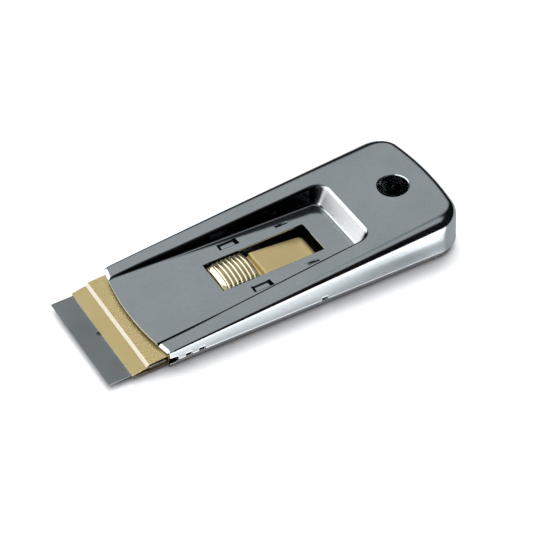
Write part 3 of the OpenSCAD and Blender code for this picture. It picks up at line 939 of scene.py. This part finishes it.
def button_mesh():
    """The button's skin as a grid of profile by cross section, open at its foot."""
    cross, edge = button_cross()
    points, grid = [], []
    for x, z, arched in button_profile():
        row = []
        edge_z = max(SPRING_TOP, z - arched * edge)
        for y, drop, down in cross:
            if down > 0:
                height = edge_z + (SPRING_TOP - edge_z) * down
            else:
                height = max(SPRING_TOP, z - arched * drop)
            row.append(len(points))
            points.append((X_BUTTON - x, y, height))
        grid.append(row)
    return points, quads(grid)


def make_button():
    """The thumb button as one closed mesh, flat underneath."""
    points, faces = button_mesh()
    obj = make_mesh("ThumbButton", points, faces)
    bm = bmesh.new()
    bm.from_mesh(obj.data)
    bmesh.ops.remove_doubles(bm, verts=bm.verts, dist=2e-6)
    bmesh.ops.dissolve_degenerate(bm, dist=1e-6, edges=bm.edges)
    bmesh.ops.holes_fill(bm, edges=[e for e in bm.edges if e.is_boundary], sides=0)
    bmesh.ops.recalc_face_normals(bm, faces=bm.faces)
    for f in bm.faces:
        f.smooth = True
    bm.to_mesh(obj.data)
    bm.free()
    obj.data.set_sharp_from_angle(angle=math.radians(50))
    return obj


# Materials

# Sunk panel: a painted highlight (near-white tone) on its rear wall, which is also rougher, and painted
# shade (near-black tone) on its side walls
REAR_WALL_HIGHLIGHT_TONE = (0.93, 0.93, 0.95)
SATIN_ROUGH = 0.38
PAINTED_SHADE_TONE = (0.02, 0.022, 0.026)
PAINTED_SHADE_FACING = (0.12, 0.42)
PAINTED_SHADE_FROM = (0.0112, 0.0122)
PAINTED_SHADE_TO = (0.0168, 0.0180)
REAR_WALL_FACING = (0.70, 0.86)
REAR_WALL_FROM = (-0.036, -0.034)
REAR_WALL_TO = (-0.0240, -0.0225)
# Carrier: a painted highlight, a pale tone on faces turned to the front
FRONT_HIGHLIGHT_TONE = (0.56, 0.53, 0.43)
FRONT_HIGHLIGHT_FACING = (0.3, 0.5)
FALL = (1.0, 0.0)


class Shader:
    """Short helper for one shader tree."""

    def __init__(self, tree):
        self.tree = tree

    def add(self, kind, **inputs):
        """A new node with values on its own sockets."""
        node = self.tree.nodes.new(kind)
        for key, value in inputs.items():
            node.inputs[key.replace("_", " ")].default_value = value
        return node

    def link(self, a, b):
        self.tree.links.new(a, b)

    def math(self, op, a, b=0.0):
        """A sum, product or the like of two sockets or numbers."""
        node = self.tree.nodes.new("ShaderNodeMath")
        node.operation = op
        for i, v in enumerate((a, b)):
            if isinstance(v, (int, float)):
                node.inputs[i].default_value = v
            else:
                self.link(v, node.inputs[i])
        return node.outputs["Value"]

    def product(self, a, b):
        return self.math("MULTIPLY", a, b)


class Metal(Shader):
    """One metal's nodes, around its Principled shader."""

    def __init__(self, name, metallic):
        self.mat = bpy.data.materials.new(name)
        self.mat.use_nodes = True
        super().__init__(self.mat.node_tree)
        self.bsdf = self.tree.nodes["Principled BSDF"]
        self.bsdf.inputs["Metallic"].default_value = metallic
        self.coord = self.add("ShaderNodeTexCoord").outputs["Object"]

    def stretch(self, scale):
        """The object's coordinates, scaled apart in x, y and z."""
        node = self.add("ShaderNodeMapping", Scale=scale)
        self.link(self.coord, node.inputs["Vector"])
        return node.outputs["Vector"]

    def noise(self, vector, scale, detail, rough=0.55):
        node = self.add("ShaderNodeTexNoise", Scale=scale, Detail=detail, Roughness=rough)
        self.link(vector, node.inputs["Vector"])
        return node.outputs["Fac"]

    def mix(self, a, b, share):
        """Two values, the first with the given share."""
        return self.math("ADD", self.product(a, share), self.product(b, round(1 - share, 6)))

    def band(self, value, reach, to=(0.0, 1.0)):
        """A value's straight run over a reach, turned into another."""
        node = self.add("ShaderNodeMapRange", From_Min=reach[0], From_Max=reach[1])
        node.inputs["To Min"].default_value = to[0]
        node.inputs["To Max"].default_value = to[1]
        self.link(value, node.inputs["Value"])
        return node.outputs["Result"]

    def ramp(self, value, low, high, tones):
        """A colour between two tones."""
        node = self.tree.nodes.new("ShaderNodeValToRGB")
        for element, at, tone in zip(node.color_ramp.elements, (low, high), tones):
            element.position = at
            element.color = (*tone, 1)
        self.link(value, node.inputs["Fac"])
        return node.outputs["Color"]

    def blend(self, share, colour, other):
        """A colour that turns into another one by a share."""
        node = self.tree.nodes.new("ShaderNodeMix")
        node.data_type = "RGBA"
        self.link(share, node.inputs["Factor"])
        self.link(colour, node.inputs[6])
        node.inputs[7].default_value = (*other, 1)
        return node.outputs[2]

    def bump(self, height, depth, normal=None):
        """Relief of a depth, on top of another relief where one is given."""
        node = self.add("ShaderNodeBump", Strength=1.0, Distance=depth)
        self.link(height, node.inputs["Height"])
        if normal is not None:
            self.link(normal, node.inputs["Normal"])
        return node.outputs["Normal"]

    def parts(self, vector):
        """The X and Y parts of a vector."""
        node = self.add("ShaderNodeSeparateXYZ")
        self.link(vector, node.inputs["Vector"])
        return node.outputs["X"], node.outputs["Y"]

    def facing(self):
        """How far the surface faces X and Y."""
        return self.parts(self.add("ShaderNodeTexCoord").outputs["Normal"])

    def finish(self, colour, rough, relief):
        """The material, with its colour, roughness and relief put on."""
        self.link(colour, self.bsdf.inputs["Base Color"])
        self.link(rough, self.bsdf.inputs["Roughness"])
        self.link(relief, self.bsdf.inputs["Normal"])
        return self.mat


def pocket_shade_and_highlight(m):
    """Masks for painted shade on the sunk panel's side walls and for a painted highlight on its rear wall,
    which is also made rougher.
    """
    facing_x, facing_y = m.facing()
    x, y = m.parts(m.coord)
    across = m.math("ABSOLUTE", y)
    inside = m.product(m.band(across, PAINTED_SHADE_FROM), m.band(across, PAINTED_SHADE_TO, FALL))
    # side: where painted shade darkens the side walls
    side = m.product(m.band(m.math("ABSOLUTE", facing_y), PAINTED_SHADE_FACING), inside)
    behind = m.product(m.band(x, REAR_WALL_TO, FALL), m.band(x, REAR_WALL_FROM))
    # rear: where a painted highlight lightens the rear wall
    rear = m.product(m.band(facing_x, REAR_WALL_FACING), behind)
    return side, rear


def plated(name, tones, rough, pocket=False):
    """Bright plated sheet: cloudy tone, faint rolling grain, fine specks and a soft ripple."""
    m = Metal(name, 1.0)
    cloud = m.noise(m.coord, 60, 4)
    grain = m.noise(m.stretch((90, 260, 260)), 8, 4, 0.7)
    speck = m.noise(m.coord, 1300, 3, 0.7)
    mixed = m.mix(cloud, grain, 0.5)
    colour = m.ramp(mixed, 0.35, 0.65, tones)
    dull = m.band(mixed, (0.3, 0.7), rough)
    # In the sunk panel: a painted highlight and extra roughness on the rear wall, and painted shade on the
    # side walls
    if pocket:
        side, rear = pocket_shade_and_highlight(m)
        colour = m.blend(rear, colour, REAR_WALL_HIGHLIGHT_TONE)
        colour = m.blend(side, colour, PAINTED_SHADE_TONE)
        dull = m.math("ADD", dull, m.product(rear, SATIN_ROUGH))
    ripple = m.bump(m.noise(m.coord, 90, 2), 19.2e-6)
    return m.finish(colour, dull, m.bump(speck, 4.8e-6, m.bump(grain, 1.6e-6, ripple)))


def passivated(name, tones, rough, metallic=0.75, front_highlight=False):
    """Yellow passivated steel: a drifting warm tone and a satin grain; faces turned to the front can get a
    painted highlight, a pale tone.
    """
    m = Metal(name, metallic)
    drift = m.noise(m.coord, 45, 3)
    grain = m.noise(m.stretch((25, 400, 400)), 8, 4, 0.7)
    dust = m.noise(m.coord, 1500, 3, 0.6)
    mixed = m.mix(drift, grain, 0.6)
    colour = m.ramp(mixed, 0.36, 0.64, tones)
    # Painted highlight: faces turned towards +X are blended to a pale tone
    if front_highlight:
        colour = m.blend(m.band(m.facing()[0], FRONT_HIGHLIGHT_FACING), colour, FRONT_HIGHLIGHT_TONE)
    return m.finish(colour, m.band(mixed, (0.3, 0.7), rough), m.bump(dust, 2e-6, m.bump(grain, 3e-6)))


def ground(name, tones, rough):
    """Ground blade steel: grinding lines across the edge and a slow change of tone."""
    m = Metal(name, 1.0)
    drift = m.noise(m.coord, 40, 2)
    lines = m.noise(m.stretch((40, 900, 40)), 6, 5, 0.7)
    colour = m.ramp(m.mix(drift, lines, 0.7), 0.38, 0.62, tones)
    return m.finish(colour, m.band(lines, (0.3, 0.7), rough), m.bump(lines, 2e-6))


# Stage

# The floor, as the lens sees it and as the plate mirrors it
FLOOR_HALF = 1.6
FLOOR_BASE = (0.30, 0.305, 0.32, 1)
FLOOR_GLOW = 0.86
GLOW_TINT = (0.985, 0.99, 1.0, 1)
FLOOR_BRIGHT = 1.5
BRIGHT_TINT = (1.0, 0.95, 0.935, 1)
LIGHT_WAY = (-0.364, -0.606, 0.707)
SHADOW_REACH = 0.009
SHADOW_STEP = (0.2, 1.0)
SHADE_REACH = 0.030
SHADE_STEP = (0.43, 0.80)
# A painted dark band and a painted dark patch on the floor, seen only in reflections
BAND_WAY = (0.0247, 0.9997, 0.0)
BAND_FROM = (0.0255, 0.0283)
BAND_TO = (0.0303, 0.0315)
BAND_START = (0.006, 0.045)
BAND_DARK = 0.78
DARK_PATCH_WAY = (-0.79, -0.62, 0.0)
DARK_PATCH_EDGE = (0.023, 0.030)
DARK_PATCH_DEPTH = 0.97

# The room that the plate mirrors: an azimuth in degrees goes with the reach of its smooth step
GREY_ROOM = 0.43
BLACK_ROOM = 0.004
SOFT_ROOM = 0.42
FLAG_REAR = (193, (-0.03, 0.07))
FLAG_SIDE = (125, (-0.20, 0.05))
FLAG_TOP = (0.78, 0.90)
LOW_ROOM = (0.42, 0.66)
WALL_SPREAD = (-12, (0.46, 0.62))
WALL_TOP = (0.60, 0.74)
WALL_BRIGHT = 1.9

# The photo's camera
CAMERA_LENS = 128.33
CAMERA_SENSOR = 36.0
CAMERA_AT = (0.21833, 0.36860, 0.42177)
CAMERA_RIGHT = (-0.85808, 0.51351, 0.0)
CAMERA_BACK = (0.36717, 0.61354, 0.69913)


class Stage(Shader):
    """A stage shader's nodes, which tell the lens from mirrored rays."""

    def __init__(self, tree):
        super().__init__(tree)
        tree.nodes.clear()
        path = self.add("ShaderNodeLightPath")
        self.camera_ray = path.outputs["Is Camera Ray"]
        self.glossy_ray = path.outputs["Is Glossy Ray"]

    def step(self, value, reach):
        """A smooth rise from 0 to 1 over a reach."""
        node = self.add("ShaderNodeMapRange", From_Min=reach[0], From_Max=reach[1])
        node.interpolation_type = "SMOOTHSTEP"
        self.link(value, node.inputs["Value"])
        return node.outputs["Result"]

    def flip(self, value):
        return self.math("SUBTRACT", 1.0, value)

    def fall(self, value, reach):
        """A smooth fall from 1 to 0 over a reach."""
        return self.flip(self.step(value, reach))

    def along(self, vector, way):
        """How far a vector goes along a way."""
        node = self.tree.nodes.new("ShaderNodeVectorMath")
        node.operation = "DOT_PRODUCT"
        self.link(vector, node.inputs[0])
        node.inputs[1].default_value = way
        return node.outputs["Value"]

    def towards(self, vector, azimuth, reach):
        """A smooth rise as a vector turns towards a level azimuth in degrees."""
        a = math.radians(azimuth)
        return self.step(self.along(vector, (math.cos(a), math.sin(a), 0.0)), reach)

    def glow(self, strength, tint):
        node = self.add("ShaderNodeEmission", Color=tint)
        self.link(strength, node.inputs["Strength"])
        return node.outputs["Emission"]

    def both(self, a, b):
        """Two shaders added up."""
        node = self.add("ShaderNodeAddShader")
        self.link(a, node.inputs[0])
        self.link(b, node.inputs[1])
        return node.outputs["Shader"]


def openness(t, reach):
    """How open the floor is to the light behind the object, within a reach."""
    lean = t.add("ShaderNodeCombineXYZ", X=LIGHT_WAY[0], Y=LIGHT_WAY[1], Z=LIGHT_WAY[2])
    node = t.add("ShaderNodeAmbientOcclusion", Distance=reach)
    node.samples = 10
    t.link(lean.outputs["Vector"], node.inputs["Normal"])
    return node.outputs["AO"]


def seen_floor(t):
    """What the lens sees of the floor: white, with a soft contact shadow."""
    near = t.math("POWER", t.step(openness(t, SHADOW_REACH), SHADOW_STEP), 0.8)
    return t.product(t.product(near, FLOOR_GLOW), t.camera_ray)


def mirrored_floor(t):
    """What the plate mirrors of the floor: a shade round the object, a painted dark band and a painted
    dark patch, seen only by mirrored rays.
    """
    shade = t.product(t.step(openness(t, SHADE_REACH), SHADE_STEP), FLOOR_BRIGHT)
    where = t.add("ShaderNodeNewGeometry").outputs["Position"]
    off = t.along(where, BAND_WAY)
    band = t.product(t.step(off, BAND_FROM), t.fall(off, BAND_TO))
    behind = t.product(t.step(t.along(where, (-1.0, 0.0, 0.0)), BAND_START), BAND_DARK)
    shade = t.product(shade, t.flip(t.product(band, behind)))
    # Painted dark patch on the floor: a painted reflection, no card is there
    dark_patch = t.product(t.step(t.along(where, DARK_PATCH_WAY), DARK_PATCH_EDGE), DARK_PATCH_DEPTH)
    return t.product(t.product(shade, t.flip(dark_patch)), t.glossy_ray)


def make_floor():
    """A white floor that shows one face to the lens and another to mirrored rays."""
    mesh = bpy.data.meshes.new("Floor")
    h = FLOOR_HALF
    mesh.from_pydata([(-h, -h, 0), (h, -h, 0), (h, h, 0), (-h, h, 0)], [], [(0, 1, 2, 3)])
    obj = new_object("Floor", mesh)
    mat = bpy.data.materials.new("floor_white")
    mat.use_nodes = True
    t = Stage(mat.node_tree)
    light = t.both(t.glow(seen_floor(t), GLOW_TINT), t.glow(mirrored_floor(t), BRIGHT_TINT))
    diffuse = t.add("ShaderNodeBsdfDiffuse", Color=FLOOR_BASE)
    out = t.add("ShaderNodeOutputMaterial")
    t.link(t.both(diffuse.outputs["BSDF"], light), out.inputs["Surface"])
    mesh.materials.append(mat)


def lamp(name, azimuth, elevation, distance, size, power):
    """A square lamp that faces the object, with azimuth from +X towards +Y."""
    data = bpy.data.lights.new(name, "AREA")
    data.shape = "RECTANGLE"
    data.size = size
    data.size_y = size
    data.energy = power
    obj = new_object(name, data)
    a, e = math.radians(azimuth), math.radians(elevation)
    way = Vector((math.cos(a) * math.cos(e), math.sin(a) * math.cos(e), math.sin(e)))
    obj.location = way * distance
    obj.rotation_mode = "QUATERNION"
    obj.rotation_quaternion = (-way).to_track_quat("-Z", "Y")
    obj.visible_glossy = False
    obj.visible_camera = False


def make_world():
    """A grey room with a bright front wall and a black flag behind the right side, for reflections."""
    world = bpy.data.worlds.new("Studio")
    bpy.context.scene.world = world
    world.use_nodes = True
    t = Stage(world.node_tree)
    way = t.add("ShaderNodeTexCoord").outputs["Generated"]
    height = t.along(way, (0.0, 0.0, 1.0))
    flag = t.product(t.towards(way, *FLAG_REAR), t.towards(way, *FLAG_SIDE))
    flag = t.product(flag, t.fall(height, FLAG_TOP))
    dark = t.math("MAXIMUM", flag, t.fall(height, LOW_ROOM))
    grey = t.product(t.flip(dark), GREY_ROOM)
    wall = t.product(t.towards(way, *WALL_SPREAD), t.fall(height, WALL_TOP))
    room = t.math("ADD", t.math("ADD", grey, t.product(wall, WALL_BRIGHT)), BLACK_ROOM)
    glossy = t.product(room, t.glossy_ray)
    other = t.product(t.flip(t.glossy_ray), SOFT_ROOM)
    level = t.math("MAXIMUM", t.math("ADD", glossy, other), t.camera_ray)
    back = t.add("ShaderNodeBackground", Color=(1, 1, 1, 1))
    out = t.add("ShaderNodeOutputWorld")
    t.link(level, back.inputs["Strength"])
    t.link(back.outputs["Background"], out.inputs["Surface"])


def make_camera():
    """The photo's view, as it was fitted to points measured in the photo."""
    data = bpy.data.cameras.new("Camera")
    data.lens = CAMERA_LENS
    data.sensor_width = CAMERA_SENSOR
    data.clip_start = 0.05
    data.clip_end = 10.0
    obj = new_object("Camera", data)
    right = Vector(CAMERA_RIGHT)
    back = Vector(CAMERA_BACK)
    turn = Matrix((right, back.cross(right), back)).transposed().to_4x4()
    obj.matrix_world = Matrix.Translation(CAMERA_AT) @ turn
    bpy.context.scene.camera = obj


# Build

make_camera()
make_world()
make_floor()
bpy.context.scene.view_settings.view_transform = "Standard"

chrome = plated("satin_plate", ((0.53, 0.60, 0.63), (0.64, 0.71, 0.74)), (0.10, 0.16), pocket=True)
chrome_low = plated("satin_plate_low", ((0.5, 0.52, 0.53), (0.57, 0.59, 0.6)), (0.2, 0.3))
spine_mat = plated("bright_spine", ((0.7, 0.71, 0.72), (0.78, 0.79, 0.8)), (0.2, 0.3))
gold = passivated("gold_carrier", ((0.68, 0.545, 0.255), (0.75, 0.615, 0.31)), (0.30, 0.40), front_highlight=True)
# The tray is a darker copy of the carrier's gold: painted shade, for where it sits in shade
shaded_gold_tray = passivated("shaded_gold_tray", ((0.22, 0.165, 0.085), (0.28, 0.215, 0.12)), (0.34, 0.44), 0.9)
gold_spring = passivated("gold_spring", ((0.78, 0.62, 0.30), (0.86, 0.70, 0.36)), (0.32, 0.42))
gold_button = passivated("gold_button", ((0.86, 0.78, 0.54), (0.93, 0.85, 0.62)), (0.16, 0.24), 0.95)
brass = passivated("rivet_brass", ((0.55, 0.45, 0.25), (0.62, 0.52, 0.3)), (0.3, 0.4))
blade_mat = ground("ground_steel", ((0.36, 0.40, 0.415), (0.46, 0.50, 0.515)), (0.22, 0.3))

top = thick_mesh("TopShell", top_shell_sheet(), SHEET)
pan = thick_mesh("BottomShell", bottom_shell_sheet(), SHEET)
plate = thick_mesh("CarrierPlate", carrier_plate_sheet(), CARRIER_T)
tray = thick_mesh("BladeTray", blade_tray_sheet(), CARRIER_T)
spring = thick_mesh("LockSpring", lock_spring_sheet(), CARRIER_T)
finish_piece(top, "handle", "top_shell", chrome)
finish_piece(pan, "handle", "bottom_shell", chrome_low)
finish_piece(plate, "carriage", "carrier_plate", gold)
finish_piece(tray, "carriage", "blade_tray", shaded_gold_tray)
finish_piece(spring, "carriage", "lock_spring", gold_spring)
finish_piece(make_button(), "button", "thumb_button", gold_button)

for node, material in (("carrier_rivets", brass), ("razor_blade", blade_mat), ("blade_spine", spine_mat)):
    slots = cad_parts[node].data.materials
    slots.clear()
    slots.append(material)

lamp("KeyLamp", -121, 60, 1.0, 0.6, 8.0)
lamp("FillLamp", 40, 70, 1.2, 0.9, 7.0)
